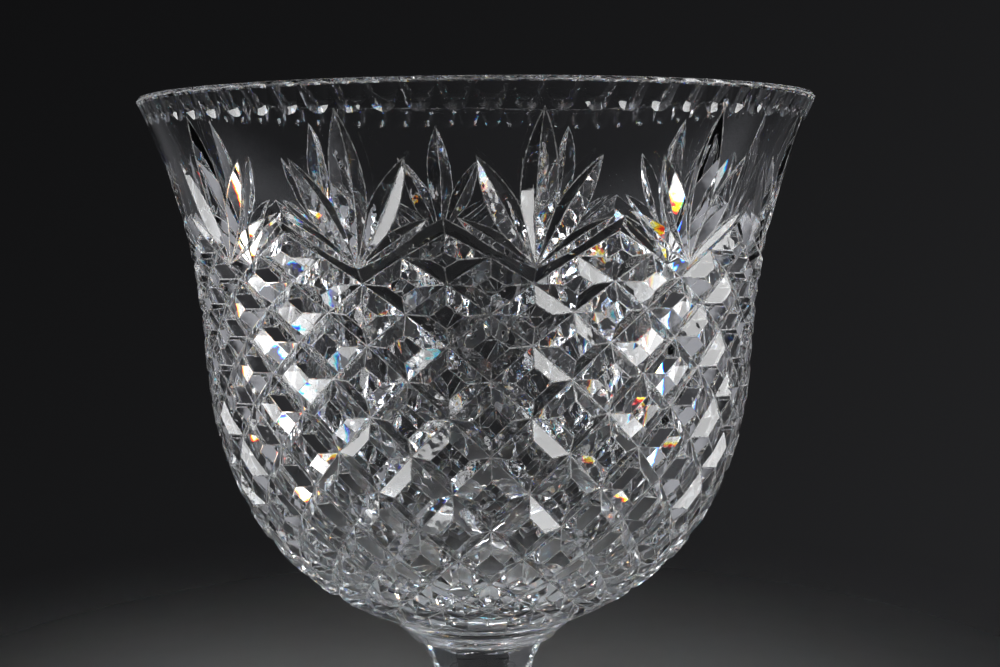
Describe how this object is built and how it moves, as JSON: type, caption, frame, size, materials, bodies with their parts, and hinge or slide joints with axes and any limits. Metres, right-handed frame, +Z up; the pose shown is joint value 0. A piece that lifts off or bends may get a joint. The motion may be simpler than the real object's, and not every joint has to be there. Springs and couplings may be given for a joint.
{
  "type": "footed punch bowl",
  "caption": "Large footed cut-glass punch bowl: flared deep bowl with diamond, fan and flute cutting on a collar, a short flat-sided stem and a domed round foot.",
  "frame": {"origin": "centre of the foot's flat underside, on the table", "axes": "+Z up along the bowl's turning axis; a peak of the zigzag edge of the diamond cutting faces -Y"},
  "size_m": [0.3066, 0.3066, 0.3175],
  "materials": {
    "bowl": "clear colourless lead glass, wheel cut and polished",
    "collar": "clear colourless lead glass, smooth",
    "stem": "clear colourless lead glass, cut flats, polished",
    "foot": "clear colourless lead glass, smooth, ground rest ring"
  },
  "bodies": {
    "root": {"bowl": "bowl", "collar": "collar", "stem": "stem", "foot": "foot"}
  },
  "joints": []
}
